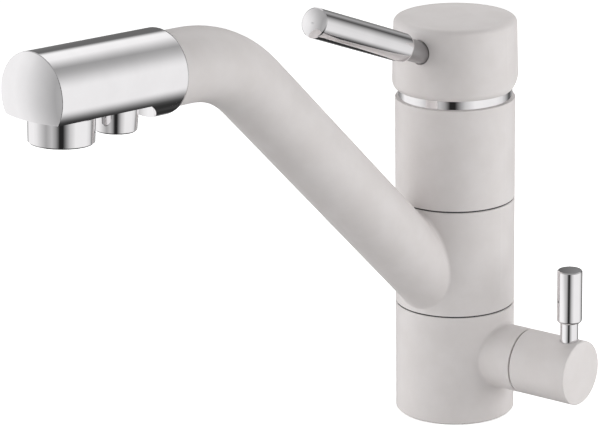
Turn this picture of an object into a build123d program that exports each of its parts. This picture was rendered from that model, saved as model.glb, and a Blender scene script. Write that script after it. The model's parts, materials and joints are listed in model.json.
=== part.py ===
"""Kitchen mixer tap with a second, quarter-turn valve for filtered water.

The column stands on the XY plane with its axis on Z. The lever points along -Y, the filtered
water branch along +X, and the spout is built along -Y and swung before it is saved. All sizes
are in millimetres.
"""

import os
from math import cos, radians, sin, tan

from build123d import *

os.makedirs("parts", exist_ok=True)

# Column
column_radius = 25.0
base_height = 47.3
sleeve_height = 45.12
upper_height = 42.98
slide_ring_thickness = 0.6
slide_ring_inset = 0.5
seam_edge_round = 0.3
foot_chamfer = 0.6

# Clearances shared by many pieces
running_clearance = 0.05
thread_clearance = 0.1

# Underside of the base
recess_radius = 20.0
recess_depth = 14.0
gasket_width = 3.0
gasket_thickness = 1.5
inlet_tap_radius = 4.46
inlet_thread_depth = 10.0
stud_tap_radius = 3.4
stud_thread_depth = 12.0
stud_offset = 14.0

# Waterways
inlet_channel_radius = 3.0
inlet_channel_x = 7.0
inlet_channel_y = 8.5
mixed_channel_radius = 3.5
mixed_channel_y = -9.0
filter_channel_radius = 2.2
filter_channel_x = 6.0
filter_channel_y = -6.8
filter_inlet_x = 4.0
filter_inlet_y = -1.0

# Inner core on which the spout sleeve turns
core_radius = 18.0
core_spigot_radius = 15.5
core_spigot_depth = 14.0
chamber_depth = 3.0
mixed_chamber_height = 12.0
filter_chamber_height = 5.0
core_seal_groove_depth = 2.0
core_seal_groove_height = 2.4
core_seal_section_radius = 0.95

# Spout, which the photo shows swung a little to the left of the handle
spout_swing = -5.8
tube_radius = 14.65
tube_wall = 2.75
spout_axis_drop = 2.0
spout_rise = 44.5
bend_start_reach = 121.9
bend_radius = 53.6
head_rise = 2.9
neck_length = 13.1
root_fillet = 1.2
root_wall_reach = 41.0
tube_end_wall = 6.0
main_line_offset = 4.5
main_line_radius = 4.2
filter_line_offset = 4.5
filter_tube_radius = 3.6
filter_tube_wall = 1.0
filter_tube_socket = 5.0
filter_tip_socket = 2.5

# Spout head
head_radius = 16.65
head_length = 65.0
head_dome = 3.6
head_flat_drop = 8.6
head_seat_depth = 4.0
head_gasket_thickness = 1.0
head_front_round = 0.4
head_rear_round = 1.8
scoop_radius = 14.95

# Aerators under the head
main_aerator_place = 50.2
main_aerator_radius = 12.65
main_aerator_taper = 0.2
main_thread_radius = 11.0
main_insert_radius = 9.6
main_hole_rings = 3
filter_aerator_place = 22.6
filter_aerator_radius = 8.7
filter_aerator_taper = 0.7
filter_thread_radius = 7.2
filter_insert_radius = 5.9
filter_hole_rings = 2
aerator_drop = 10.75
aerator_gap = 0.8
aerator_edge = 0.5
aerator_lip = 0.9
aerator_thread_depth = 6.0
aerator_gasket_thickness = 1.2
insert_wall_clearance = 0.1
insert_hole_radius = 0.75
insert_hole_pitch = 2.3
insert_hole_depth = 2.0

# Mixing cartridge
seat_depth = 27.15
cartridge_radius = 20.0
cartridge_wall = 2.0
cartridge_clearance = 0.2
cartridge_base_thickness = 4.0
port_seal_width = 1.2
port_seal_thickness = 1.5
disc_radius = 15.5
disc_thickness = 4.0
disc_play = 0.1
moving_disc_radius = 11.0
moving_disc_thickness = 6.0
mixing_hollow_radius = 8.0
mixing_hollow_depth = 1.6
ball_pocket_radius = 3.4
ball_pocket_depth = 3.6
guide_flange_radius = 15.0
guide_flange_thickness = 1.2
guide_radius = 12.0
guide_rise = 2.5
guide_slot_length = 14.0
housing_roof_thickness = 3.0
housing_neck_radius = 14.2
nut_height = 7.0
nut_slot_width = 4.0
nut_slot_depth = 3.0
nut_slot_count = 6
stem_pin_radius = 1.5
stem_pin_inset = 0.5
stem_ball_radius = 3.0
stem_shank_radius = 2.4
stem_eye_depth = 3.0
stem_lean = 11.8
stem_width = 7.0
stem_side_play = 0.1
stem_rise = 19.0

# Handle
handle_tilt_range = 25.0
cap_gap = 3.9
cap_height = 29.9
cap_bottom_radius = 26.2
cap_top_radius = 25.5
cap_skirt_wall = 2.0
cap_roof_thickness = 3.5
cap_top_round = 2.5
cap_bottom_round = 3.2
cap_bottom_draw = 1.6
relief_start = 0.5
cap_boss_radius = 8.0
cap_boss_start = 8.0
lever_axis_rise = 10.13
lever_rise = 21.0
lever_boss_radius = 7.5
lever_boss_reach = 21.0
lever_thread_radius = 3.0
lever_thread_depth = 10.0
lever_neck_radius = 4.6
lever_hole_clearance = 0.25
lever_grip_start = 38.6
lever_shoulder = 2.3
lever_grip_radius = 6.13
lever_end = 102.6
lever_end_chamfer = 0.4
lever_end_dome = 0.9
set_screw_radius = 2.5
set_screw_length = 4.0
set_screw_height = 13.0
set_screw_key_radius = 1.25
set_screw_key_depth = 2.0

# Dome ring under the handle
dome_band_height = 4.5
dome_step = 1.2
dome_height = 7.5
dome_taper = 1.9
dome_taper_rise = 1.6
dome_opening_radius = 15.6
dome_wall = 1.5
dome_skirt_depth = 1.4
dome_skirt_wall = 1.5

# Filtered water branch
branch_height = 27.43
branch_radius = 13.54
branch_reach = 36.25
branch_fillet = 1.5
valve_seat_reach = 18.0
valve_bore_radius = 9.1
valve_port_radius = 2.8
seat_washer_thickness = 1.5
valve_nose_radius = 5.5
valve_nose_length = 3.5
valve_nose_wall = 1.5
valve_barrel_radius = 7.6
valve_barrel_length = 10.0
valve_chamber_radius = 6.2
valve_chamber_length = 7.5
valve_window_radius = 1.0
valve_flange_radius = 10.8
valve_flange_thickness = 3.5
valve_gland_radius = 6.5
valve_gland_length = 7.5
filter_disc_thickness = 2.5
filter_disc_clearance = 0.1
filter_disc_port_radius = 1.8
filter_disc_port_offset = 3.4
drive_plate_radius = 4.5
drive_plate_thickness = 2.2
drive_key_width = 2.0
drive_key_depth = 1.0
spindle_radius = 3.5
spindle_flat_height = 2.6
spindle_seal_groove_depth = 1.1
spindle_seal_groove_width = 1.4
spindle_seal_section_radius = 0.5

# Filter knob and its pin lever
knob_gap = 0.6
knob_length = 26.6
knob_wall = 2.3
knob_cavity_length = 13.5
knob_end_wall = 2.5
knob_edge_round = 0.5
filter_lever_inset = 5.87
filter_lever_thread_radius = 2.5
filter_lever_seat_drop = 0.75
filter_lever_neck_radius = 3.75
filter_lever_neck_length = 8.4
filter_lever_shoulder = 1.5
filter_lever_grip_radius = 5.21
filter_lever_grip_length = 21.15
filter_lever_chamfer = 0.4
filter_lever_dome = 0.3

# Directions
UP = (0, 0, 1)
DOWN = (0, 0, -1)
RIGHT = (1, 0, 0)
LEFT = (-1, 0, 0)
FRONT = (0, -1, 0)

# Heights that follow from the column
sleeve_bottom = base_height + slide_ring_thickness
sleeve_top = sleeve_bottom + sleeve_height
upper_bottom = sleeve_top + slide_ring_thickness
upper_top = upper_bottom + upper_height
seat_z = upper_top - seat_depth
cap_bottom = upper_top + cap_gap
cap_top = cap_bottom + cap_height
cap_ceiling = cap_top - cap_roof_thickness
core_bottom = base_height - core_spigot_depth
gasket_inner = (recess_radius + column_radius - gasket_width) / 2
gasket_outer = gasket_inner + gasket_width

# Spout path: a straight rise, a bend and a nearly level neck into the head
rise_cos = cos(radians(spout_rise))
rise_sin = sin(radians(spout_rise))
tube_direction = Vector(0, -rise_cos, rise_sin)
tube_upward = Vector(0, rise_sin, rise_cos)
head_direction = Vector(0, -cos(radians(head_rise)), sin(radians(head_rise)))
head_upward = Vector(0, sin(radians(head_rise)), cos(radians(head_rise)))
bend_upward = (tube_upward + head_upward).normalized()
spout_axis_height = sleeve_bottom - spout_axis_drop
spout_root = Vector(0, 0, spout_axis_height)
root_wall = spout_root + tube_direction * root_wall_reach
bend_start = spout_root + tube_direction * (bend_start_reach / rise_cos)
bend_centre = bend_start - tube_upward * bend_radius
bend_end = bend_centre + head_upward * bend_radius
head_start = bend_end + head_direction * neck_length
head_side_plane = Plane(origin=head_start, x_dir=RIGHT, z_dir=Vector(RIGHT).cross(head_direction))
tube_tip_inset = head_seat_depth - head_gasket_thickness
tube_end_length = neck_length + tube_tip_inset
bore_end_length = tube_end_length - tube_end_wall
bore_end = bend_end + head_direction * bore_end_length

# Ring chambers in the sleeve, at the heights where the two lines of the spout leave it
sleeve_bore_radius = core_radius + running_clearance
chamber_radius = sleeve_bore_radius + chamber_depth
filter_line_radius = filter_tube_radius - filter_tube_wall
main_line_start = (chamber_radius + main_line_offset * rise_sin) / rise_cos
mixed_chamber_z = spout_axis_height + main_line_offset * rise_cos + main_line_start * rise_sin
mixed_chamber_bottom = mixed_chamber_z - mixed_chamber_height / 2
mixed_chamber_top = mixed_chamber_z + mixed_chamber_height / 2
filter_line_start = (chamber_radius - filter_line_offset * rise_sin) / rise_cos
filter_chamber_z = spout_axis_height - filter_line_offset * rise_cos + filter_line_start * rise_sin
filter_chamber_bottom = filter_chamber_z - filter_chamber_height / 2
filter_chamber_top = filter_chamber_z + filter_chamber_height / 2
core_seal_heights = (
    (sleeve_bottom + filter_chamber_bottom) / 2,
    (filter_chamber_top + mixed_chamber_bottom) / 2,
    (mixed_chamber_top + sleeve_top) / 2,
)

# Head underside and the two aerators on it
flat_origin = head_start - head_upward * head_flat_drop
flat_plane = Plane(origin=flat_origin, x_dir=RIGHT, z_dir=-head_upward)
main_aerator_root = flat_origin + head_direction * main_aerator_place
filter_aerator_root = flat_origin + head_direction * filter_aerator_place
aerator_hole_depth = aerator_thread_depth + aerator_gasket_thickness
main_aerator = (
    "main",
    main_aerator_root,
    main_aerator_radius,
    main_aerator_taper,
    main_thread_radius,
    main_insert_radius,
    main_hole_rings,
)
filter_aerator = (
    "filter",
    filter_aerator_root,
    filter_aerator_radius,
    filter_aerator_taper,
    filter_thread_radius,
    filter_insert_radius,
    filter_hole_rings,
)
aerators = (main_aerator, filter_aerator)

# Cartridge levels, from the seat upwards
inlet_places = ((-inlet_channel_x, inlet_channel_y), (inlet_channel_x, inlet_channel_y))
cartridge_ports = (
    (-inlet_channel_x, inlet_channel_y, inlet_channel_radius),
    (inlet_channel_x, inlet_channel_y, inlet_channel_radius),
    (0, mixed_channel_y, mixed_channel_radius),
)
cartridge_bore = cartridge_radius - cartridge_wall
fixed_disc_z = seat_z + cartridge_base_thickness
moving_disc_z = fixed_disc_z + disc_thickness
guide_z = moving_disc_z + moving_disc_thickness + disc_play
roof_z = guide_z + guide_flange_thickness + disc_play
nut_z = roof_z + housing_roof_thickness
pivot_z = upper_top
guide_top = pivot_z + guide_rise

# Stem, which leans forward while the handle is down
pivot = Vector(0, 0, pivot_z)
stem_axis = Vector(0, -sin(radians(stem_lean)), cos(radians(stem_lean)))
stem_front = Vector(0, -cos(radians(stem_lean)), -sin(radians(stem_lean)))
stem_plane = Plane(origin=pivot, x_dir=RIGHT, z_dir=stem_axis)
stem_arm = pivot_z - moving_disc_z - moving_disc_thickness
stem_length_below = stem_arm / cos(radians(stem_lean))
disc_offset = stem_arm * tan(radians(stem_lean))

# Places inside the handle cap
boss_root_z = (cap_ceiling + cap_top) / 2
boss_length = (boss_root_z - pivot_z) / cos(radians(stem_lean)) - cap_boss_start
lever_root = Vector(0, 0, cap_bottom + lever_axis_rise)
lever_direction = Vector(0, -cos(radians(lever_rise)), sin(radians(lever_rise)))
lever_axis = Axis(lever_root, lever_direction)
lever_seat = lever_root + lever_direction * lever_boss_reach
set_screw_root = pivot + stem_axis * set_screw_height

# Places along the branch
branch_root = Vector(0, 0, branch_height)
branch_axis = Axis(branch_root, RIGHT)
branch_plane = Plane(origin=branch_root, x_dir=RIGHT, z_dir=FRONT)
filter_return_length = valve_seat_reach - filter_channel_x
filter_riser_length = core_bottom - branch_height
nose_x = valve_seat_reach + seat_washer_thickness
barrel_x = nose_x + valve_nose_length
valve_thread_x = barrel_x + valve_barrel_length
valve_chamber_x = barrel_x + valve_nose_wall
valve_chamber_end = valve_chamber_x + valve_chamber_length
gland_x = branch_reach + valve_flange_thickness
gland_end = gland_x + valve_gland_length
turning_disc_x = valve_chamber_x + filter_disc_thickness
drive_plate_x = turning_disc_x + filter_disc_thickness
spindle_seal_x = (gland_x + gland_end) / 2
knob_x = branch_reach + knob_gap
knob_end = knob_x + knob_length
knob_top = branch_height + branch_radius
spindle_end = knob_end - knob_end_wall
filter_lever_reach = knob_end - filter_lever_inset
spindle_flat_x = filter_lever_reach - filter_lever_neck_radius
filter_lever_seat_z = knob_top - filter_lever_seat_drop
filter_lever_grip_z = filter_lever_seat_z + filter_lever_neck_length + filter_lever_shoulder
filter_lever_top = filter_lever_grip_z + filter_lever_grip_length


def across(origin, direction):
    """A plane square to a direction."""
    return Plane(origin=origin, z_dir=direction)


def outline(plane, *points):
    """A straight-sided face on a plane."""
    with BuildSketch(plane, mode=Mode.PRIVATE) as face:
        with BuildLine():
            Polyline(*points, close=True)
        make_face()
    return face.sketch


def round_face(plane, radius, hole=0):
    """A round face on a plane, with a hole in it where one is given."""
    with BuildSketch(plane, mode=Mode.PRIVATE) as face:
        Circle(radius)
        if hole > 0:
            Circle(hole, mode=Mode.SUBTRACT)
    return face.sketch


def drill(start, direction, radius, depth):
    """Cut a round hole into the piece that is being built."""
    extrude(round_face(across(start, direction), radius), amount=depth, mode=Mode.SUBTRACT)


def spout_line(offset, start, end_length):
    """A line beside the middle of the spout tube, above it where the offset is positive."""
    turn_in = bend_start + tube_upward * offset
    turn_middle = bend_centre + bend_upward * (bend_radius + offset)
    turn_out = bend_end + head_upward * offset
    with BuildLine(mode=Mode.PRIVATE) as path:
        Line(spout_root + tube_upward * offset + tube_direction * start, turn_in)
        ThreePointArc(turn_in, turn_middle, turn_out)
        Line(turn_out, turn_out + head_direction * end_length)
    return path.wire()


def pin_face(
    plane, thread_radius, neck_radius, grip_radius, root, seat, neck_end, grip_start, end, edge, dome
):
    """Half the outline of a pin lever: threaded root, neck, rounded shoulder, grip and domed end."""
    with BuildSketch(plane, mode=Mode.PRIVATE) as face:
        with BuildLine():
            Polyline(
                (0, root),
                (thread_radius, root),
                (thread_radius, seat),
                (neck_radius, seat),
                (neck_radius, neck_end),
            )
            TangentArc((grip_radius, grip_start), (neck_radius, neck_end), tangent=(0, -1))
            Polyline(
                (grip_radius, grip_start),
                (grip_radius, end - edge),
                (grip_radius - edge, end),
            )
            TangentArc((0, end + dome), (grip_radius - edge, end), tangent=(1, 0))
            Line((0, end + dome), (0, root))
        make_face()
    return face.sketch


def save(builder, name, swing=0):
    """Name a finished piece, swing it about the column where asked, and write its file."""
    piece = builder.part.rotate(Axis.Z, swing)
    piece.label = name
    export_step(piece, f"parts/{name}.step")


def not_straight_or_round(edge):
    """True for the curve where two round walls run into each other."""
    return edge.geom_type not in (GeomType.LINE, GeomType.CIRCLE)


# Base: column foot and branch, with the recess, inlets and passages
with BuildPart() as base_body:
    extrude(round_face(Plane.XY, column_radius), amount=base_height)
    fillet(base_body.edges().group_by(Axis.Z)[-1], seam_edge_round)
    chamfer(base_body.edges().group_by(Axis.Z)[0], foot_chamfer)
    extrude(round_face(across(branch_root, RIGHT), branch_radius), amount=branch_reach)
    fillet(base_body.edges().group_by(Axis.X)[-1], seam_edge_round)
    fillet(base_body.edges().filter_by(not_straight_or_round), branch_fillet)
    drill((0, 0, 0), UP, recess_radius, recess_depth)
    extrude(round_face(Plane.XY, gasket_outer, gasket_inner), amount=gasket_thickness, mode=Mode.SUBTRACT)
    socket_depth = core_spigot_depth + thread_clearance
    drill((0, 0, base_height), DOWN, core_spigot_radius + thread_clearance, socket_depth)
    for x, y in inlet_places:
        drill((x, y, recess_depth), UP, inlet_tap_radius, inlet_thread_depth)
        drill((x, y, recess_depth), UP, inlet_channel_radius, core_bottom - recess_depth)
    for y in (-stud_offset, stud_offset):
        drill((0, y, recess_depth), UP, stud_tap_radius, stud_thread_depth)
    filter_inlet = (filter_inlet_x, filter_inlet_y, recess_depth)
    drill(filter_inlet, UP, inlet_tap_radius, inlet_thread_depth)
    drill(filter_inlet, UP, valve_port_radius, branch_height - recess_depth)
    drill((valve_seat_reach, 0, branch_height), LEFT, valve_port_radius, valve_seat_reach - filter_inlet_x)
    filter_return = (valve_seat_reach, filter_channel_y, branch_height)
    drill(filter_return, LEFT, filter_channel_radius, filter_return_length)
    filter_riser = (filter_channel_x, filter_channel_y, branch_height)
    drill(filter_riser, UP, filter_channel_radius, filter_riser_length)
    drill((branch_reach, 0, branch_height), LEFT, valve_bore_radius, branch_reach - valve_seat_reach)
save(base_body, "base_body")

with BuildPart() as base_gasket:
    gasket_ring = round_face(Plane.XY, gasket_outer - thread_clearance, gasket_inner + thread_clearance)
    extrude(gasket_ring, amount=gasket_thickness)
save(base_gasket, "base_gasket")

# Inner core: the post on which the spout sleeve turns, with its waterways
with BuildPart() as inner_core:
    core_outline = outline(
        Plane.XZ,
        (0, core_bottom),
        (core_spigot_radius, core_bottom),
        (core_spigot_radius, base_height),
        (core_radius, base_height),
        (core_radius, upper_bottom),
        (core_spigot_radius, upper_bottom),
        (core_spigot_radius, seat_z),
        (0, seat_z),
    )
    revolve(core_outline, axis=Axis.Z)
    for z in core_seal_heights:
        groove_plane = Plane.XY.offset(z - core_seal_groove_height / 2)
        groove = round_face(groove_plane, 2 * core_radius, core_radius - core_seal_groove_depth)
        extrude(groove, amount=core_seal_groove_height, mode=Mode.SUBTRACT)
    for x, y in inlet_places:
        drill((x, y, core_bottom), UP, inlet_channel_radius, seat_z - core_bottom)
    drill((0, mixed_channel_y, seat_z), DOWN, mixed_channel_radius, seat_z - mixed_chamber_z)
    drill((0, mixed_channel_y, mixed_chamber_z), FRONT, mixed_channel_radius, core_radius)
    filter_way_length = filter_chamber_z - core_bottom
    drill((filter_channel_x, filter_channel_y, core_bottom), UP, filter_channel_radius, filter_way_length)
    drill((filter_channel_x, filter_channel_y, filter_chamber_z), RIGHT, filter_channel_radius, core_radius)
save(inner_core, "inner_core")

with BuildPart() as core_o_rings:
    with Locations(*[(0, 0, z) for z in core_seal_heights]):
        Torus(core_radius - core_seal_section_radius, core_seal_section_radius)
save(core_o_rings, "core_o_rings")

# Slide rings: the thin dark seams above and below the turning sleeve
for ring_name, ring_z in (("lower_slide_ring", base_height), ("upper_slide_ring", sleeve_top)):
    with BuildPart() as slide_ring:
        ring_plane = Plane.XY.offset(ring_z)
        extrude(
            round_face(ring_plane, column_radius - slide_ring_inset, core_radius + thread_clearance),
            amount=slide_ring_thickness,
        )
    save(slide_ring, ring_name)

# Upper body, which holds the mixing cartridge
with BuildPart() as upper_body:
    extrude(round_face(Plane.XY.offset(upper_bottom), column_radius), amount=upper_height)
    fillet(upper_body.edges().filter_by(GeomType.CIRCLE), seam_edge_round)
    drill((0, 0, upper_bottom), UP, core_spigot_radius + thread_clearance, seat_z - upper_bottom)
    drill((0, 0, seat_z), UP, cartridge_radius + cartridge_clearance, seat_depth)
save(upper_body, "upper_body")

# Mixing cartridge: ported base, seals, two ceramic discs, housing and clamping nut
with BuildPart() as cartridge_base:
    base_face = round_face(Plane.XY.offset(seat_z), cartridge_bore - thread_clearance)
    extrude(base_face, amount=cartridge_base_thickness)
    for x, y, port_radius in cartridge_ports:
        drill((x, y, seat_z), UP, port_radius, cartridge_base_thickness)
        drill((x, y, seat_z), UP, port_radius + port_seal_width, port_seal_thickness)
save(cartridge_base, "cartridge_base")

with BuildPart() as cartridge_seals:
    for x, y, port_radius in cartridge_ports:
        port_plane = Plane((x, y, seat_z))
        seal_outer = port_radius + port_seal_width - thread_clearance
        extrude(round_face(port_plane, seal_outer, port_radius), amount=port_seal_thickness)
save(cartridge_seals, "cartridge_seals")

with BuildPart() as fixed_disc:
    extrude(round_face(Plane.XY.offset(fixed_disc_z), disc_radius), amount=disc_thickness)
    for x, y, port_radius in cartridge_ports:
        drill((x, y, fixed_disc_z), UP, port_radius, disc_thickness)
save(fixed_disc, "fixed_disc")

with BuildPart() as moving_disc:
    moving_disc_face = round_face(Plane((0, disc_offset, moving_disc_z)), moving_disc_radius)
    extrude(moving_disc_face, amount=moving_disc_thickness)
    drill((0, disc_offset, moving_disc_z), UP, mixing_hollow_radius, mixing_hollow_depth)
    drill((0, disc_offset, guide_z - disc_play), DOWN, ball_pocket_radius, ball_pocket_depth)
save(moving_disc, "moving_disc")

with BuildPart() as cartridge_housing:
    housing_outline = outline(
        Plane.XZ,
        (cartridge_bore, seat_z),
        (cartridge_radius, seat_z),
        (cartridge_radius, nut_z),
        (housing_neck_radius, nut_z),
        (housing_neck_radius, guide_top - disc_play),
        (guide_radius + running_clearance, guide_top - disc_play),
        (guide_radius + running_clearance, roof_z),
        (cartridge_bore, roof_z),
    )
    revolve(housing_outline, axis=Axis.Z)
save(cartridge_housing, "cartridge_housing")

with BuildPart() as cartridge_nut:
    nut_outer = cartridge_radius + cartridge_clearance - thread_clearance
    nut_inner = housing_neck_radius + cartridge_clearance
    extrude(round_face(Plane.XY.offset(nut_z), nut_outer, nut_inner), amount=nut_height)
    with BuildSketch(Plane.XY.offset(nut_z + nut_height)):
        with PolarLocations((nut_outer + nut_inner) / 2, nut_slot_count):
            Rectangle(2 * (nut_outer - nut_inner), nut_slot_width)
    extrude(amount=-nut_slot_depth, mode=Mode.SUBTRACT)
save(cartridge_nut, "cartridge_nut")

# Stem guide turns for temperature and carries the pin on which the stem tilts
with BuildPart() as stem_guide:
    extrude(round_face(Plane.XY.offset(guide_z), guide_flange_radius), amount=guide_flange_thickness)
    extrude(round_face(Plane.XY.offset(guide_z), guide_radius), amount=guide_top - guide_z)
    with BuildSketch(Plane.XY.offset(guide_z)):
        Rectangle(stem_width + 2 * stem_side_play, guide_slot_length)
    extrude(amount=guide_top - guide_z, mode=Mode.SUBTRACT)
    drill((-guide_radius, 0, pivot_z), RIGHT, stem_pin_radius, 2 * guide_radius)
save(stem_guide, "stem_guide")

with BuildPart() as stem_pivot_pin:
    pin_half = guide_radius - stem_pin_inset
    extrude(round_face(across((-pin_half, 0, pivot_z), RIGHT), stem_pin_radius), amount=2 * pin_half)
save(stem_pivot_pin, "stem_pivot_pin")

with BuildPart() as cartridge_stem:
    ball_centre = pivot - stem_axis * stem_length_below
    with Locations(ball_centre):
        Sphere(stem_ball_radius)
    extrude(round_face(across(ball_centre, stem_axis), stem_shank_radius), amount=stem_length_below)
    with BuildSketch(stem_plane.offset(-stem_eye_depth)):
        Rectangle(stem_width, stem_width)
    extrude(amount=stem_rise + stem_eye_depth)
    drill((-stem_width, 0, pivot_z), RIGHT, stem_pin_radius + running_clearance, 2 * stem_width)
save(cartridge_stem, "cartridge_stem")

# Dome ring: the bright turned ring under the handle
with BuildPart() as dome_ring:
    dome_base = upper_top
    band_top = dome_base + dome_band_height
    shoulder_radius = column_radius - dome_step
    skirt_outer = cartridge_radius + cartridge_clearance - thread_clearance
    skirt_inner = skirt_outer - dome_skirt_wall
    with BuildSketch(Plane.XZ):
        with BuildLine():
            Line((shoulder_radius, dome_base), (shoulder_radius, band_top))
            ThreePointArc(
                (shoulder_radius, band_top),
                (shoulder_radius - dome_taper, band_top + dome_taper_rise),
                (dome_opening_radius, dome_base + dome_height),
            )
            Polyline(
                (dome_opening_radius, dome_base + dome_height),
                (dome_opening_radius, dome_base + dome_height - dome_wall),
                (skirt_inner, dome_base + dome_height - 2 * dome_wall),
                (skirt_inner, dome_base - dome_skirt_depth),
                (skirt_outer, dome_base - dome_skirt_depth),
                (skirt_outer, dome_base),
                (shoulder_radius, dome_base),
            )
        make_face()
    revolve(axis=Axis.Z)
save(dome_ring, "dome_ring")

# Handle cap: hollow, with a socket for the stem, a boss for the lever and a relief at the rear
with BuildPart() as handle_cap:
    side_foot = (cap_bottom_radius, cap_bottom + cap_bottom_round)
    lip_edge = (cap_bottom_radius - cap_bottom_draw, cap_bottom)
    with BuildSketch(Plane.XZ):
        with BuildLine():
            Polyline((0, cap_top), (cap_top_radius, cap_top), side_foot)
            TangentArc(side_foot, lip_edge, tangent=(0, -1))
            Polyline(
                lip_edge,
                (cap_bottom_radius - cap_skirt_wall, cap_bottom),
                (cap_top_radius - cap_skirt_wall, cap_ceiling),
                (0, cap_ceiling),
                (0, cap_top),
            )
        make_face()
    revolve(axis=Axis.Z)
    fillet(handle_cap.edges().filter_by(GeomType.CIRCLE).group_by(Axis.Z)[-1], cap_top_round)
    with BuildSketch(Plane.XY.offset(boss_root_z)):
        with Locations((0, (pivot_z - boss_root_z) * tan(radians(stem_lean)))):
            Circle(cap_boss_radius)
    extrude(amount=boss_length, dir=-stem_axis)
    extrude(round_face(across(lever_root, lever_direction), lever_boss_radius), amount=lever_boss_reach)
    with BuildSketch(stem_plane):
        Rectangle(stem_width + 2 * thread_clearance, stem_width + 2 * thread_clearance)
    extrude(amount=stem_rise, mode=Mode.SUBTRACT)
    drill(lever_seat, -lever_direction, lever_thread_radius + thread_clearance, lever_thread_depth)
    drill(lever_seat, lever_direction, lever_neck_radius + lever_hole_clearance, cap_bottom_radius)
    drill(set_screw_root, -stem_front, set_screw_radius + thread_clearance, 2 * cap_bottom_radius)
    relief_reach = 2 * cap_bottom_radius
    relief = outline(
        Plane.YZ,
        (relief_start, cap_bottom),
        (relief_start + relief_reach, cap_bottom + relief_reach * tan(radians(handle_tilt_range))),
        (relief_start + relief_reach, upper_top),
        (relief_start, upper_top),
    )
    extrude(relief, amount=relief_reach, both=True, mode=Mode.SUBTRACT)
save(handle_cap, "handle_cap")

with BuildPart() as handle_set_screw:
    screw_start = set_screw_root - stem_front * (stem_width / 2)
    screw_end = screw_start - stem_front * set_screw_length
    extrude(round_face(across(screw_start, -stem_front), set_screw_radius), amount=set_screw_length)
    with BuildSketch(across(screw_end, stem_front)):
        RegularPolygon(set_screw_key_radius, 6)
    extrude(amount=set_screw_key_depth, mode=Mode.SUBTRACT)
save(handle_set_screw, "handle_set_screw")

with BuildPart() as handle_lever:
    lever_outline = pin_face(
        Plane(origin=lever_root, x_dir=RIGHT, z_dir=Vector(RIGHT).cross(lever_direction)),
        lever_thread_radius,
        lever_neck_radius,
        lever_grip_radius,
        root=lever_boss_reach - lever_thread_depth + thread_clearance,
        seat=lever_boss_reach,
        neck_end=lever_grip_start,
        grip_start=lever_grip_start + lever_shoulder,
        end=lever_end,
        edge=lever_end_chamfer,
        dome=lever_end_dome,
    )
    revolve(lever_outline, axis=lever_axis)
save(handle_lever, "handle_lever")

# Spout: sleeve and bent tube in one piece, with ring chambers inside the sleeve
with BuildPart() as spout:
    extrude(round_face(Plane.XY.offset(sleeve_bottom), column_radius), amount=sleeve_height)
    fillet(spout.edges().filter_by(GeomType.CIRCLE), seam_edge_round)
    tube_face = round_face(across(spout_root, tube_direction), tube_radius)
    sweep(tube_face, path=spout_line(0, 0, tube_end_length))
    below_sleeve = round_face(Plane.XY.offset(sleeve_bottom), 2 * column_radius)
    extrude(below_sleeve, amount=-sleeve_height, mode=Mode.SUBTRACT)
    fillet(spout.edges().filter_by(not_straight_or_round), root_fillet)
    drill((0, 0, sleeve_bottom), UP, sleeve_bore_radius, sleeve_height)
    mixed_chamber_face = round_face(Plane.XY.offset(mixed_chamber_bottom), chamber_radius)
    extrude(mixed_chamber_face, amount=mixed_chamber_height, mode=Mode.SUBTRACT)
    filter_chamber_face = round_face(Plane.XY.offset(filter_chamber_bottom), chamber_radius)
    extrude(filter_chamber_face, amount=filter_chamber_height, mode=Mode.SUBTRACT)
    tube_bore = round_face(across(root_wall, tube_direction), tube_radius - tube_wall)
    sweep(tube_bore, path=spout_line(0, root_wall_reach, bore_end_length), mode=Mode.SUBTRACT)
    main_root = root_wall + tube_upward * main_line_offset
    drill(main_root, -tube_direction, main_line_radius, root_wall_reach - main_line_start)
    filter_root = root_wall - tube_upward * filter_line_offset
    drill(filter_root, -tube_direction, filter_line_radius, root_wall_reach - filter_line_start)
    drill(filter_root, -tube_direction, filter_tube_radius + thread_clearance, filter_tube_socket)
    drill(bore_end + head_upward * main_line_offset, head_direction, main_line_radius, tube_end_wall)
    filter_tip = bore_end - head_upward * filter_line_offset
    drill(filter_tip, head_direction, filter_line_radius, tube_end_wall)
    drill(filter_tip, head_direction, filter_tube_radius + thread_clearance, filter_tip_socket)
save(spout, "spout", spout_swing)

with BuildPart() as filter_tube:
    filter_tube_start = root_wall - tube_upward * filter_line_offset - tube_direction * filter_tube_socket
    filter_tube_line = spout_line(
        -filter_line_offset,
        root_wall_reach - filter_tube_socket,
        bore_end_length + filter_tip_socket,
    )
    filter_tube_face = round_face(
        across(filter_tube_start, tube_direction), filter_tube_radius, filter_line_radius
    )
    sweep(filter_tube_face, path=filter_tube_line)
save(filter_tube, "filter_tube", spout_swing)

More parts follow.
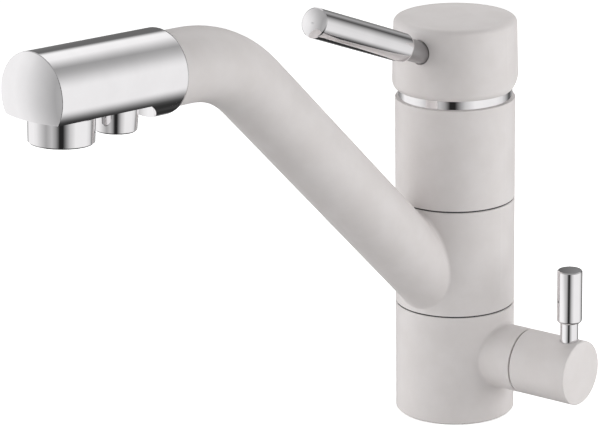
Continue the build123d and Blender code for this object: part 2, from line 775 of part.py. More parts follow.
# Spout head: round bar with a domed front and a milled flat underneath that ends in a round scoop
with BuildPart() as spout_head:
    head_tip = head_length + head_dome
    with BuildSketch(head_side_plane):
        with BuildLine():
            Polyline((0, head_tip), (0, 0), (head_radius, 0), (head_radius, head_length))
            TangentArc((0, head_tip), (head_radius, head_length), tangent=(1, 0))
        make_face()
    revolve(axis=Axis(head_start, head_direction))
    head_rims = spout_head.edges().sort_by(SortBy.LENGTH)[-2:].sort_by(Axis.Y)
    fillet(head_rims[0], head_front_round)
    fillet(head_rims[-1], head_rear_round)
    with BuildSketch(flat_plane):
        with Locations((0, filter_aerator_place)):
            Circle(scoop_radius)
        with Locations((0, filter_aerator_place + head_length / 2)):
            Rectangle(2 * head_radius, head_length)
    extrude(amount=head_radius, mode=Mode.SUBTRACT)
    drill(head_start, head_direction, tube_radius + thread_clearance, head_seat_depth)
    main_mouth = head_start + head_upward * main_line_offset
    drill(main_mouth, head_direction, main_line_radius, main_aerator_place)
    filter_mouth = head_start - head_upward * filter_line_offset
    drill(filter_mouth, head_direction, filter_line_radius, filter_aerator_place)
    drill(main_aerator_root, head_upward, main_thread_radius + thread_clearance, aerator_hole_depth)
    drill(main_aerator_root, head_upward, main_insert_radius, head_flat_drop + main_line_offset)
    drill(filter_aerator_root, head_upward, filter_thread_radius + thread_clearance, aerator_hole_depth)
save(spout_head, "spout_head", spout_swing)

with BuildPart() as head_gasket:
    gasket_start = head_start + head_direction * tube_tip_inset
    gasket_face = round_face(across(gasket_start, head_direction), tube_radius - thread_clearance)
    extrude(gasket_face, amount=head_gasket_thickness)
    main_gasket_hole = gasket_start + head_upward * main_line_offset
    drill(main_gasket_hole, head_direction, main_line_radius, head_gasket_thickness)
    filter_gasket_hole = gasket_start - head_upward * filter_line_offset
    drill(filter_gasket_hole, head_direction, filter_line_radius, head_gasket_thickness)
save(head_gasket, "head_gasket", spout_swing)

# Aerators: each is a threaded shell, a pierced insert resting on its lip and a gasket above
for kind, root, shell_radius, taper, thread_radius, insert_radius, hole_rings in aerators:
    bore_radius = insert_radius + insert_wall_clearance
    lip_radius = insert_radius - aerator_lip
    with BuildPart() as aerator_shell:
        shell_outline = outline(
            Plane(origin=root, x_dir=RIGHT, z_dir=Vector(RIGHT).cross(-head_upward)),
            (bore_radius, -aerator_thread_depth),
            (thread_radius, -aerator_thread_depth),
            (thread_radius, aerator_gap),
            (shell_radius, aerator_gap),
            (shell_radius - taper, aerator_drop - aerator_edge),
            (shell_radius - taper - aerator_edge, aerator_drop),
            (lip_radius, aerator_drop),
            (lip_radius, aerator_drop - aerator_lip),
            (bore_radius, aerator_drop - aerator_lip),
        )
        revolve(shell_outline, axis=Axis(root, -head_upward))
    save(aerator_shell, f"{kind}_aerator_shell", spout_swing)

    with BuildPart() as aerator_insert:
        insert_top = across(root + head_upward * aerator_thread_depth, -head_upward)
        insert_length = aerator_thread_depth + aerator_drop - aerator_lip
        extrude(round_face(insert_top, insert_radius), amount=insert_length)
        with BuildSketch(across(root - head_upward * (aerator_drop - aerator_lip), head_upward)):
            Circle(insert_hole_radius)
            for ring in range(1, hole_rings + 1):
                with PolarLocations(ring * insert_hole_pitch, 6 * ring):
                    Circle(insert_hole_radius)
        extrude(amount=insert_hole_depth, mode=Mode.SUBTRACT)
    save(aerator_insert, f"{kind}_aerator_insert", spout_swing)

    with BuildPart() as aerator_gasket:
        gasket_plane = across(root + head_upward * aerator_thread_depth, head_upward)
        extrude(round_face(gasket_plane, thread_radius, bore_radius), amount=aerator_gasket_thickness)
    save(aerator_gasket, f"{kind}_aerator_gasket", spout_swing)

# Filtered water valve: brass body, seat washer, two ceramic discs and a spindle
with BuildPart() as filter_seat_washer:
    washer_plane = across((valve_seat_reach, 0, branch_height), RIGHT)
    extrude(round_face(washer_plane, valve_nose_radius, valve_port_radius), amount=seat_washer_thickness)
save(filter_seat_washer, "filter_seat_washer")

with BuildPart() as filter_valve_body:
    valve_outline = outline(
        branch_plane,
        (nose_x, valve_port_radius),
        (nose_x, valve_nose_radius),
        (barrel_x, valve_nose_radius),
        (barrel_x, valve_barrel_radius),
        (valve_thread_x, valve_barrel_radius),
        (valve_thread_x, valve_bore_radius - thread_clearance),
        (branch_reach, valve_bore_radius - thread_clearance),
        (branch_reach, valve_flange_radius),
        (gland_x, valve_flange_radius),
        (gland_x, valve_gland_radius),
        (gland_end, valve_gland_radius),
        (gland_end, spindle_radius + running_clearance),
        (valve_chamber_end, spindle_radius + running_clearance),
        (valve_chamber_end, valve_chamber_radius),
        (valve_chamber_x, valve_chamber_radius),
        (valve_chamber_x, valve_port_radius),
    )
    revolve(valve_outline, axis=branch_axis)
    window_x = (drive_plate_x + valve_chamber_end) / 2
    window_start = (window_x, 0, branch_height - valve_barrel_radius)
    drill(window_start, UP, valve_window_radius, 2 * valve_barrel_radius)
save(filter_valve_body, "filter_valve_body")

with BuildPart() as filter_fixed_disc:
    fixed_plane = across((valve_chamber_x, 0, branch_height), RIGHT)
    fixed_face = round_face(fixed_plane, valve_chamber_radius - filter_disc_clearance)
    extrude(fixed_face, amount=filter_disc_thickness)
    for y in (-filter_disc_port_offset, filter_disc_port_offset):
        drill((valve_chamber_x, y, branch_height), RIGHT, filter_disc_port_radius, filter_disc_thickness)
save(filter_fixed_disc, "filter_fixed_disc")

with BuildPart() as filter_moving_disc:
    turning_plane = across((turning_disc_x, 0, branch_height), RIGHT)
    turning_face = round_face(turning_plane, valve_chamber_radius - 2 * filter_disc_clearance)
    extrude(turning_face, amount=filter_disc_thickness)
    for z in (branch_height - filter_disc_port_offset, branch_height + filter_disc_port_offset):
        drill((turning_disc_x, 0, z), RIGHT, filter_disc_port_radius, filter_disc_thickness)
    slot_half = drive_key_width / 2 + thread_clearance
    slot = outline(
        branch_plane,
        (drive_plate_x - drive_key_depth - thread_clearance, -slot_half),
        (drive_plate_x - drive_key_depth - thread_clearance, slot_half),
        (drive_plate_x, slot_half),
        (drive_plate_x, -slot_half),
    )
    extrude(slot, amount=valve_chamber_radius, both=True, mode=Mode.SUBTRACT)
save(filter_moving_disc, "filter_moving_disc")

with BuildPart() as filter_spindle:
    spindle_outline = outline(
        branch_plane,
        (drive_plate_x, 0),
        (drive_plate_x, drive_plate_radius),
        (drive_plate_x + drive_plate_thickness, drive_plate_radius),
        (drive_plate_x + drive_plate_thickness, spindle_radius),
        (spindle_end, spindle_radius),
        (spindle_end, 0),
    )
    revolve(spindle_outline, axis=branch_axis)
    drive_key = outline(
        branch_plane,
        (drive_plate_x - drive_key_depth, -drive_key_width / 2),
        (drive_plate_x - drive_key_depth, drive_key_width / 2),
        (drive_plate_x, drive_key_width / 2),
        (drive_plate_x, -drive_key_width / 2),
    )
    extrude(drive_key, amount=drive_plate_radius - drive_key_width / 2, both=True)
    seal_plane = across((spindle_seal_x - spindle_seal_groove_width / 2, 0, branch_height), RIGHT)
    seal_groove = round_face(seal_plane, 2 * spindle_radius, spindle_radius - spindle_seal_groove_depth)
    extrude(seal_groove, amount=spindle_seal_groove_width, mode=Mode.SUBTRACT)
    spindle_flat = outline(
        branch_plane,
        (spindle_flat_x, spindle_flat_height),
        (spindle_end, spindle_flat_height),
        (spindle_end, 2 * spindle_radius),
        (spindle_flat_x, 2 * spindle_radius),
    )
    extrude(spindle_flat, amount=spindle_radius, both=True, mode=Mode.SUBTRACT)
save(filter_spindle, "filter_spindle")

with BuildPart() as spindle_o_ring:
    with Locations(Plane(origin=(spindle_seal_x, 0, branch_height), z_dir=RIGHT)):
        Torus(spindle_radius - spindle_seal_section_radius, spindle_seal_section_radius)
save(spindle_o_ring, "spindle_o_ring")

# Filter knob with its pin lever
with BuildPart() as filter_knob:
    knob_outline = outline(
        branch_plane,
        (knob_x, branch_radius - knob_wall),
        (knob_x, branch_radius),
        (knob_end, branch_radius),
        (knob_end, 0),
        (spindle_end, 0),
        (spindle_end, spindle_radius + thread_clearance),
        (knob_x + knob_cavity_length, spindle_radius + thread_clearance),
        (knob_x + knob_cavity_length, branch_radius - knob_wall),
    )
    revolve(knob_outline, axis=branch_axis)
    knob_rims = filter_knob.edges().filter_by(GeomType.CIRCLE).group_by(Axis.X)
    fillet(knob_rims[-1], knob_edge_round)
    fillet(knob_rims[0].sort_by(SortBy.RADIUS)[-1], seam_edge_round)
    lever_place = (filter_lever_reach, 0, knob_top)
    drill(lever_place, DOWN, filter_lever_thread_radius + thread_clearance, branch_radius)
    drill(lever_place, DOWN, filter_lever_neck_radius + thread_clearance, filter_lever_seat_drop)
save(filter_knob, "filter_knob")

with BuildPart() as filter_lever:
    filter_lever_outline = pin_face(
        Plane(origin=(filter_lever_reach, 0, 0), x_dir=RIGHT, z_dir=FRONT),
        filter_lever_thread_radius,
        filter_lever_neck_radius,
        filter_lever_grip_radius,
        root=branch_height + spindle_flat_height,
        seat=filter_lever_seat_z,
        neck_end=filter_lever_grip_z - filter_lever_shoulder,
        grip_start=filter_lever_grip_z,
        end=filter_lever_top,
        edge=filter_lever_chamfer,
        dome=filter_lever_dome,
    )
    revolve(filter_lever_outline, axis=Axis((filter_lever_reach, 0, 0), UP))
save(filter_lever, "filter_lever")
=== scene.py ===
# %% [markdown]
# # Kitchen mixer tap with a filtered water valve
# This lesson dresses the solid model of a kitchen tap: satin off-white paint, bright chrome,
# and the seals, plastics and brass that belong inside. The solids have the right shapes and
# carry the motion, so they stay as they are. We give them finishes, light and a camera.

# %% Load the frame
import json
import math

import bmesh
import bpy
from mathutils import Matrix, Vector

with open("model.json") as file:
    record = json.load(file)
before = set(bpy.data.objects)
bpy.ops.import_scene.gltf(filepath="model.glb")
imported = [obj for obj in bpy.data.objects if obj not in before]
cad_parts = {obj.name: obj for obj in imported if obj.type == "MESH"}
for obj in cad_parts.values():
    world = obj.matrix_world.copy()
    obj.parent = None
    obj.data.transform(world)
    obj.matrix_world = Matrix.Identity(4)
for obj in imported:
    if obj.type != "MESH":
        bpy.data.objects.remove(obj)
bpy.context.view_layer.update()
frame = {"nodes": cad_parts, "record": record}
scene = bpy.context.scene
scene.view_settings.view_transform = "Standard"

# %% [markdown]
# ## The camera
# The photograph was taken from the right, a little above the lever, through a long lens. We
# could aim a camera by eye, but the straight edges of the tap give the exact place. So the
# camera stands at a fixed point with its three directions written down, and needs no shift.

# %% Camera
CAMERA_PLACE = Vector((0.77164, -1.10455, 0.50611))
CAMERA_RIGHT = Vector((0.79353, 0.60840, -0.01256))
CAMERA_UP = Vector((-0.17167, 0.24362, 0.95456))
SENSOR_WIDTH = 36.0
IMAGE_WIDTH = 600
FOCAL_PIXELS = 3362.67
NEAR_CLIP = 0.05
FAR_CLIP = 50.0

camera_data = bpy.data.cameras.new("camera")
camera_data.sensor_width = SENSOR_WIDTH
camera_data.lens = FOCAL_PIXELS / IMAGE_WIDTH * SENSOR_WIDTH
camera_data.clip_start = NEAR_CLIP
camera_data.clip_end = FAR_CLIP
camera = bpy.data.objects.new("camera", camera_data)
scene.collection.objects.link(camera)
camera_back = CAMERA_RIGHT.cross(CAMERA_UP)
turn = Matrix((CAMERA_RIGHT, CAMERA_UP, camera_back)).transposed().to_4x4()
camera.matrix_world = Matrix.Translation(CAMERA_PLACE) @ turn
scene.camera = camera
print("lens", round(camera_data.lens, 1), "mm")

# %% [markdown]
# ## Node trees in code
# Every material here is a tree of nodes. In the editor we would add and link them by hand. In code
# the same few steps come up again and again, so each gets a small helper.

# %% Node helpers
def add_node(tree, kind, **inputs):
    """A node of a kind, with values for its inputs by name."""
    made = tree.nodes.new(kind)
    for name, value in inputs.items():
        made.inputs[name.replace("_", " ")].default_value = value
    return made


def math_node(tree, operation, first, second=None):
    """A math node fed by sockets or numbers."""
    made = tree.nodes.new("ShaderNodeMath")
    made.operation = operation
    for slot, value in enumerate((first, second)):
        if value is None:
            continue
        if isinstance(value, bpy.types.NodeSocket):
            tree.links.new(value, made.inputs[slot])
        else:
            made.inputs[slot].default_value = value
    return made.outputs[0]


def grey(value):
    """A plain grey as a colour."""
    return (value, value, value, 1.0)


def ramp_node(tree, value, stops):
    """A grey ramp with straight stretches between stops of (position, brightness)."""
    made = tree.nodes.new("ShaderNodeValToRGB")
    elements = made.color_ramp.elements
    while len(elements) < len(stops):
        elements.new(0.5)
    for element, (position, brightness) in zip(elements, stops):
        element.position = position
        element.color = grey(brightness)
    tree.links.new(value, made.inputs["Fac"])
    return made.outputs["Color"]


def step_node(tree, value, start, end):
    """0 before start, 1 after end, smooth between."""
    made = tree.nodes.new("ShaderNodeMapRange")
    made.interpolation_type = "SMOOTHSTEP"
    made.inputs["From Min"].default_value = start
    made.inputs["From Max"].default_value = end
    tree.links.new(value, made.inputs["Value"])
    return made.outputs["Result"]


def mix_node(tree, factor, first, second):
    """A colour mix of sockets or colours."""
    made = tree.nodes.new("ShaderNodeMix")
    made.data_type = "RGBA"
    for name, value in (("Factor", factor), ("A", first), ("B", second)):
        socket = next(s for s in made.inputs if s.name == name and s.enabled)
        if isinstance(value, bpy.types.NodeSocket):
            tree.links.new(value, socket)
        else:
            socket.default_value = value
    return next(s for s in made.outputs if s.enabled)


# %% [markdown]
# ## The studio
# Chrome has hardly any colour of its own: it shows the room. Here that looks like two tall white
# panels, one at each side, with a dark gap round the camera and dark boards behind. The dark
# stripe sits at a different place on each piece, so the room is near, under a metre away. We could
# hang real panels, but they would stand in the way of other views. So the room is painted on a
# thin shell round the tap that only reflections can see. Its brightness follows the compass
# direction away from the camera's place, and the height above the horizon.

# %% Directions in the studio
HALF_TURN = 180.0


def direction_sockets(tree, place):
    """Compass angle from the camera (0 to 1 for half a turn), a mask of the right side, and height."""
    camera_compass = math.atan2(CAMERA_PLACE.y, CAMERA_PLACE.x)
    spin = add_node(tree, "ShaderNodeVectorRotate", Axis=(0.0, 0.0, 1.0), Angle=-camera_compass)
    tree.links.new(place, spin.inputs["Vector"])
    parts = tree.nodes.new("ShaderNodeSeparateXYZ")
    tree.links.new(spin.outputs["Vector"], parts.inputs["Vector"])
    turn_angle = math_node(tree, "ARCTAN2", parts.outputs["Y"], parts.outputs["X"])
    compass = math_node(tree, "DIVIDE", math_node(tree, "ABSOLUTE", turn_angle), math.pi)
    on_right = math_node(tree, "GREATER_THAN", parts.outputs["Y"], 0.0)
    return compass, on_right, math_node(tree, "ARCSINE", parts.outputs["Z"])


def belt_node(tree, compass, stops):
    """A ramp over the compass angle, with stops in degrees."""
    return ramp_node(tree, compass, [(angle / HALF_TURN, value) for angle, value in stops])


def turn_node(tree, compass, angles):
    """0 at one compass angle and 1 at another, both in degrees."""
    start, end = angles
    return step_node(tree, compass, start / HALF_TURN, end / HALF_TURN)


def climb_node(tree, height, angles):
    """0 at one height and 1 at another, both in degrees above the horizon."""
    start, end = angles
    return step_node(tree, height, math.radians(start), math.radians(end))


# %% Room shell
ROOM_RADIUS = 0.9
ROOM_MIDDLE = (0.0, 0.0, 0.1)
ROOM_SEGMENTS = 64
ROOM_RINGS = 32

room_shape = bmesh.new()
bmesh.ops.create_uvsphere(room_shape, u_segments=ROOM_SEGMENTS, v_segments=ROOM_RINGS, radius=ROOM_RADIUS)
bmesh.ops.translate(room_shape, verts=room_shape.verts, vec=ROOM_MIDDLE)
room_mesh = bpy.data.meshes.new("painted_room")
room_shape.to_mesh(room_mesh)
room_shape.free()
room = bpy.data.objects.new("painted_room", room_mesh)
scene.collection.objects.link(room)
for ray in ("camera", "diffuse", "shadow", "volume_scatter"):
    setattr(room, "visible_" + ray, False)
print("room radius", ROOM_RADIUS, "m, faces", len(room_mesh.polygons))

# %% [markdown]
# ## The paint of the room
# Going round from the camera, each side has its dark gap, its white panel and its dark board, and
# each is a stop or two on a ramp. The left panel is bright below and fades towards the camera
# higher up. Overhead the room is grey at the front and white at the back, and far below it is
# nearly black, which gives the chrome its dark lower edge.

# %% Brightness round the room
RIGHT_BELT = (
    (0, 0.02), (5, 0.15), (20, 0.60), (40, 0.90), (90, 0.90), (110, 0.75), (135, 0.10), (140, 0.10),
    (155, 0.40), (180, 0.15),
)
LEFT_BELT = (
    (0, 0.02), (10, 0.02), (20, 0.35), (50, 0.90), (70, 1.00), (115, 1.00), (130, 0.25), (180, 0.15),
)
LEFT_FADE = (
    (0, 0.02), (10, 0.02), (20, 0.35), (30, 0.55), (45, 0.40), (75, 0.85), (90, 0.95), (120, 0.95),
    (140, 0.35), (165, 0.15), (180, 0.15),
)
HIGH = ((0, 0.35), (115, 0.35), (160, 0.95), (180, 1.00))
LOW_BACK = 0.45
BELOW = 0.03
FADE_CLIMB = (-23, -18)
SIDE_CLIMB = (16, 60)
BACK_CLIMB = (34, 47)
SIDE_FALL = (-28, -58)
BACK_FALL = (-22, -38)
LOW_BACK_FALL = (6, -4)
BACK_TURN = (120, 150)
FAR_BACK_TURN = (150, 172)
print("stops", [len(belt) for belt in (RIGHT_BELT, LEFT_BELT, LEFT_FADE, HIGH)])

# %% Room paint
room_paint = bpy.data.materials.new("painted_room")
room_paint.use_nodes = True
room_paint.cycles.emission_sampling = "NONE"
walls = room_paint.node_tree
walls.nodes.clear()
from_middle = walls.nodes.new("ShaderNodeVectorMath")
from_middle.operation = "SUBTRACT"
from_middle.inputs[1].default_value = ROOM_MIDDLE
walls.links.new(walls.nodes.new("ShaderNodeTexCoord").outputs["Object"], from_middle.inputs[0])
unit = walls.nodes.new("ShaderNodeVectorMath")
unit.operation = "NORMALIZE"
walls.links.new(from_middle.outputs["Vector"], unit.inputs[0])
compass, on_right, height = direction_sockets(walls, unit.outputs["Vector"])
right_belt, left_belt, left_fade, high = (
    belt_node(walls, compass, stops) for stops in (RIGHT_BELT, LEFT_BELT, LEFT_FADE, HIGH)
)
back = turn_node(walls, compass, BACK_TURN)
far_back = turn_node(walls, compass, FAR_BACK_TURN)
left = mix_node(walls, climb_node(walls, height, FADE_CLIMB), left_belt, left_fade)
shade = mix_node(walls, on_right, left, right_belt)
low_back = math_node(walls, "MULTIPLY", far_back, climb_node(walls, height, LOW_BACK_FALL))
shade = mix_node(walls, low_back, shade, grey(LOW_BACK))
side_climb, back_climb = (climb_node(walls, height, angles) for angles in (SIDE_CLIMB, BACK_CLIMB))
shade = mix_node(walls, mix_node(walls, back, side_climb, back_climb), shade, high)
side_fall, back_fall = (climb_node(walls, height, angles) for angles in (SIDE_FALL, BACK_FALL))
shade = mix_node(walls, mix_node(walls, far_back, side_fall, back_fall), shade, grey(BELOW))
wall_light = add_node(walls, "ShaderNodeEmission", Strength=1.0)
walls.links.new(shade, wall_light.inputs["Color"])
walls.links.new(wall_light.outputs["Emission"], walls.nodes.new("ShaderNodeOutputMaterial").inputs["Surface"])
room_mesh.materials.append(room_paint)
print("room paint", room_paint.name, "nodes", len(walls.nodes))

# %% [markdown]
# ## The light on the paint
# Matt paint gathers light from half the room at once and needs no boards or gaps, so the sky has
# just two soft panels. The right one is also near: the column gets more of its light than the end
# of the spout. So a part of it is a lamp at that side, and a small one lights the top from behind.
# The camera itself sees plain white, and so would glass or metal outside the painted room.

# %% Rays that see the background
def seen_rays(tree):
    """1 for camera, glossy and transmission rays: those that see the white background."""
    path = tree.nodes.new("ShaderNodeLightPath")
    eye = math_node(tree, "MAXIMUM", path.outputs["Is Camera Ray"], path.outputs["Is Glossy Ray"])
    return math_node(tree, "MAXIMUM", eye, path.outputs["Is Transmission Ray"])


# %% Sky
LEFT_PANEL = ((0, 0.35), (20, 0.35), (62, 2.70), (100, 2.70), (140, 0.38), (180, 0.38))
RIGHT_PANEL = ((0, 0.35), (20, 0.35), (62, 1.25), (100, 1.25), (140, 0.38), (180, 0.38))
CEILING = 0.15
CEILING_CLIMB = (22, 52)

world = bpy.data.worlds.new("studio")
scene.world = world
world.use_nodes = True
sky = world.node_tree
sky.nodes.clear()
sky_place = sky.nodes.new("ShaderNodeTexCoord").outputs["Generated"]
compass, on_right, height = direction_sockets(sky, sky_place)
left_panel, right_panel = (belt_node(sky, compass, stops) for stops in (LEFT_PANEL, RIGHT_PANEL))
soft = mix_node(sky, on_right, left_panel, right_panel)
soft = mix_node(sky, climb_node(sky, height, CEILING_CLIMB), soft, grey(CEILING))
seen = mix_node(sky, seen_rays(sky), soft, grey(1.0))
backdrop = add_node(sky, "ShaderNodeBackground", Strength=1.0)
sky.links.new(seen, backdrop.inputs["Color"])
sky.links.new(backdrop.outputs["Background"], sky.nodes.new("ShaderNodeOutputWorld").inputs["Surface"])
print("sky nodes", len(sky.nodes))

# %% Lamps
LAMP_AIM = Vector((0.0, 0.0, 0.1))
LAMPS = (
    ("right_lamp", Vector((0.60, 0.15, 0.08)), 0.5, 2.0),
    ("top_lamp", Vector((-0.15, 0.35, 0.50)), 0.4, 1.4),
)

for name, place, size, watts in LAMPS:
    lamp_data = bpy.data.lights.new(name, "AREA")
    lamp_data.energy = watts
    lamp_data.size = size
    lamp = bpy.data.objects.new(name, lamp_data)
    lamp.location = place
    lamp.rotation_euler = (LAMP_AIM - place).to_track_quat("-Z", "Y").to_euler()
    lamp.visible_glossy = False
    lamp.visible_camera = False
    scene.collection.objects.link(lamp)
print("lamps", [name for name, *_ in LAMPS])

# %% [markdown]
# ## The floor
# The tap stands on a plain pale sheet. It has to look white and still catch a faint shadow, so a
# part of its white is its own light, which does not fall on the tap, and the rest is light that
# falls on it. The panels in the chrome reach below the foot, as if the real tap stood on something
# small. So chrome looks past the sheet to the studio.

# %% Floor
FLOOR_HALF_WIDTH = 4.0
FLOOR_SEGMENTS = 8
FLOOR_DROP = 0.0002
FLOOR_WHITE = 0.88
SEEN_LIGHT = 0.62

floor_shape = bmesh.new()
bmesh.ops.create_grid(
    floor_shape, x_segments=FLOOR_SEGMENTS, y_segments=FLOOR_SEGMENTS, size=FLOOR_HALF_WIDTH
)
floor_mesh = bpy.data.meshes.new("floor")
floor_shape.to_mesh(floor_mesh)
floor_shape.free()
floor = bpy.data.objects.new("floor", floor_mesh)
floor.location.z = -FLOOR_DROP
floor.visible_glossy = False
scene.collection.objects.link(floor)

floor_paper = bpy.data.materials.new("floor_paper")
floor_paper.use_nodes = True
paper = floor_paper.node_tree
paper.nodes.clear()
matt = add_node(paper, "ShaderNodeBsdfDiffuse", Color=grey(FLOOR_WHITE))
own_light = math_node(paper, "MULTIPLY", seen_rays(paper), SEEN_LIGHT)
glow = paper.nodes.new("ShaderNodeEmission")
paper.links.new(own_light, glow.inputs["Strength"])
both = paper.nodes.new("ShaderNodeAddShader")
paper.links.new(matt.outputs["BSDF"], both.inputs[0])
paper.links.new(glow.outputs["Emission"], both.inputs[1])
paper.links.new(both.outputs["Shader"], paper.nodes.new("ShaderNodeOutputMaterial").inputs["Surface"])
floor_mesh.materials.append(floor_paper)
print("floor", FLOOR_HALF_WIDTH * 2, "m wide")

# %% [markdown]
# ## Fine surface detail
# No real surface is one flat colour. Paint has a faint orange peel, chrome carries hairline
# polishing marks, and moulded rubber is grainy. One shared group gives two noises, a coarse and a
# fine one, and each finish uses them at its own scale.

# %% Shared grain group
def make_grain_group():
    """Noise at two scales: a mottle for colour and roughness, and a height for bump."""
    group = bpy.data.node_groups.new("surface_grain", "ShaderNodeTree")
    for name, default in (("Coarse Scale", 60.0), ("Fine Scale", 900.0), ("Stretch", 1.0)):
        socket = group.interface.new_socket(name, in_out="INPUT", socket_type="NodeSocketFloat")
        socket.default_value = default
    group.interface.new_socket("Mottle", in_out="OUTPUT", socket_type="NodeSocketFloat")
    group.interface.new_socket("Height", in_out="OUTPUT", socket_type="NodeSocketFloat")
    inside = group.nodes.new("NodeGroupInput")
    outside = group.nodes.new("NodeGroupOutput")
    place = group.nodes.new("ShaderNodeTexCoord").outputs["Object"]
    pull = group.nodes.new("ShaderNodeCombineXYZ")
    pull.inputs["X"].default_value = 1.0
    pull.inputs["Y"].default_value = 1.0
    group.links.new(inside.outputs["Stretch"], pull.inputs["Z"])
    stretched = group.nodes.new("ShaderNodeVectorMath")
    stretched.operation = "MULTIPLY"
    group.links.new(place, stretched.inputs[0])
    group.links.new(pull.outputs["Vector"], stretched.inputs[1])
    for scale, result in (("Coarse Scale", "Mottle"), ("Fine Scale", "Height")):
        noise = add_node(group, "ShaderNodeTexNoise", Detail=3.0, Roughness=0.55)
        group.links.new(stretched.outputs["Vector"], noise.inputs["Vector"])
        group.links.new(inside.outputs[scale], noise.inputs["Scale"])
        group.links.new(noise.outputs["Fac"], outside.inputs[result])
    return group


grain_group = make_grain_group()
print("group", grain_group.name, [s.name for s in grain_group.interface.items_tree])

# %% [markdown]
# ## Finishes
# Each finish is a principled shader with two close colours that the mottle mixes, a roughness that
# varies a little, and a bump of a few micrometres. Chrome gets a nearly mirror-smooth surface, the
# paint a satin one.

# %% Finish maker
MOTTLE_EDGES = (0.3, 0.7)


def make_finish(name, dark, light, rough, metallic=0.0, coarse=60.0, fine=900.0, stretch=1.0,
                bump=0.1, depth=0.00002):
    """A finish with mottled colour, varied roughness and fine bump."""
    finish = bpy.data.materials.new(name)
    finish.use_nodes = True
    tree = finish.node_tree
    tree.nodes.clear()
    shader = add_node(tree, "ShaderNodeBsdfPrincipled", Metallic=metallic)
    grain = tree.nodes.new("ShaderNodeGroup")
    grain.node_tree = grain_group
    grain.inputs["Coarse Scale"].default_value = coarse
    grain.inputs["Fine Scale"].default_value = fine
    grain.inputs["Stretch"].default_value = stretch
    mottle = step_node(tree, grain.outputs["Mottle"], *MOTTLE_EDGES)
    colour = mix_node(tree, mottle, (*dark, 1.0), (*light, 1.0))
    tree.links.new(colour, shader.inputs["Base Color"])
    spread = tree.nodes.new("ShaderNodeMapRange")
    spread.inputs["To Min"].default_value = rough[0]
    spread.inputs["To Max"].default_value = rough[1]
    tree.links.new(grain.outputs["Mottle"], spread.inputs["Value"])
    tree.links.new(spread.outputs["Result"], shader.inputs["Roughness"])
    relief = add_node(tree, "ShaderNodeBump", Strength=bump, Distance=depth)
    tree.links.new(grain.outputs["Height"], relief.inputs["Height"])
    tree.links.new(relief.outputs["Normal"], shader.inputs["Normal"])
    tree.links.new(shader.outputs["BSDF"], tree.nodes.new("ShaderNodeOutputMaterial").inputs["Surface"])
    return finish


# %% The finishes of the tap
finishes = {
    "cream_paint": make_finish("cream_paint", (0.735, 0.699, 0.687), (0.765, 0.731, 0.722), (0.42, 0.52),
                               coarse=90.0, fine=2600.0, bump=0.12),
    "chrome": make_finish("chrome", (0.90, 0.885, 0.895), (0.93, 0.915, 0.925), (0.03, 0.05), metallic=1.0,
                          coarse=70.0, fine=420.0, bump=0.01),
    "brass": make_finish("brass", (0.62, 0.42, 0.17), (0.74, 0.53, 0.25), (0.24, 0.38), metallic=1.0,
                         coarse=160.0, fine=2400.0, stretch=6.0, bump=0.2),
    "rubber": make_finish("rubber", (0.012, 0.012, 0.012), (0.03, 0.03, 0.03), (0.6, 0.85),
                          coarse=220.0, fine=2600.0, bump=0.35),
    "dark_plastic": make_finish("dark_plastic", (0.03, 0.03, 0.032), (0.05, 0.05, 0.052), (0.4, 0.55),
                                coarse=260.0, fine=2800.0, bump=0.2),
    "pale_plastic": make_finish("pale_plastic", (0.62, 0.62, 0.60), (0.72, 0.72, 0.70), (0.32, 0.46),
                                coarse=240.0, fine=2600.0, bump=0.18),
    "ceramic": make_finish("ceramic", (0.78, 0.77, 0.74), (0.86, 0.85, 0.82), (0.12, 0.2),
                           coarse=400.0, fine=3000.0, bump=0.05),
    "steel": make_finish("steel", (0.48, 0.48, 0.49), (0.62, 0.62, 0.63), (0.2, 0.34), metallic=1.0,
                         coarse=200.0, fine=2600.0, stretch=5.0, bump=0.15),
}
print("finishes", sorted(finishes))

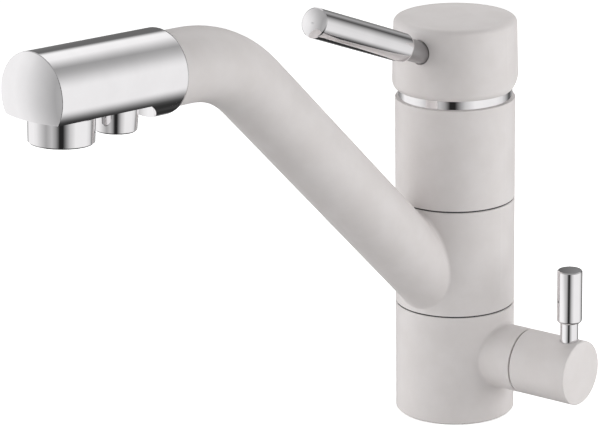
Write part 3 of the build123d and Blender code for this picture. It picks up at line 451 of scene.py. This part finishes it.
# %% [markdown]
# ## The neck of the lever
# The thin neck between cap and grip looks duller and darker than the mirror chrome of the grip.
# Both are one turned piece, so one material has both: a copy of the chrome that is rougher on the
# neck, and whose colour is darkened there as painted shade, in place of the dark reflection the
# neck shows. The grip's length, measured back from the tip of the lever's own mesh, says where the neck ends.

# %% Lever finish
LEVER_RISE = math.radians(21.0)
GRIP_LENGTH = 0.0649
NECK_EDGE = 0.0002
# Painted shade on the neck: the share of its colour that is darkened.
NECK_PAINTED_SHADE = 0.5
NECK_ROUGHNESS = 0.3

lever = frame["nodes"]["handle_lever"]
lever_direction = Vector((0.0, -math.cos(LEVER_RISE), math.sin(LEVER_RISE)))
neck_end = max(vertex.co.dot(lever_direction) for vertex in lever.data.vertices) - GRIP_LENGTH
lever_chrome_painted_neck_shade = finishes["chrome"].copy()
lever_chrome_painted_neck_shade.name = "lever_chrome_painted_neck_shade"
metal = lever_chrome_painted_neck_shade.node_tree
lever_shader = next(node for node in metal.nodes if node.type == "BSDF_PRINCIPLED")
along = metal.nodes.new("ShaderNodeVectorMath")
along.operation = "DOT_PRODUCT"
along.inputs[1].default_value = lever_direction
metal.links.new(metal.nodes.new("ShaderNodeTexCoord").outputs["Object"], along.inputs[0])
on_neck = step_node(metal, along.outputs["Value"], neck_end, neck_end - NECK_EDGE)
plain_colour = lever_shader.inputs["Base Color"].links[0].from_socket
plain_roughness = lever_shader.inputs["Roughness"].links[0].from_socket
# Painted shade: the neck's colour is darkened to stand in for the dark reflection it shows.
neck_painted_shade = math_node(metal, "MULTIPLY", on_neck, NECK_PAINTED_SHADE)
rougher = math_node(metal, "MULTIPLY", on_neck, NECK_ROUGHNESS)
neck_colour_with_painted_shade = mix_node(metal, neck_painted_shade, plain_colour, grey(0.0))
neck_roughness = math_node(metal, "MAXIMUM", plain_roughness, rougher)
metal.links.new(neck_colour_with_painted_shade, lever_shader.inputs["Base Color"])
metal.links.new(neck_roughness, lever_shader.inputs["Roughness"])
print("lever finish", lever_chrome_painted_neck_shade.name, "neck ends", round(neck_end, 4), "m along the lever")

# %% [markdown]
# ## Dressing the solids
# The record of the part names a finish for each of its pieces, so a loop puts them on. Only the
# lever then gets its own, with painted shade on its neck.

# %% Put the finishes on the solids
for part in frame["record"]["subparts"]:
    solid = frame["nodes"][part["node"]]
    solid.data.materials.clear()
    solid.data.materials.append(finishes[part["material_slot"]])
lever.data.materials[0] = lever_chrome_painted_neck_shade
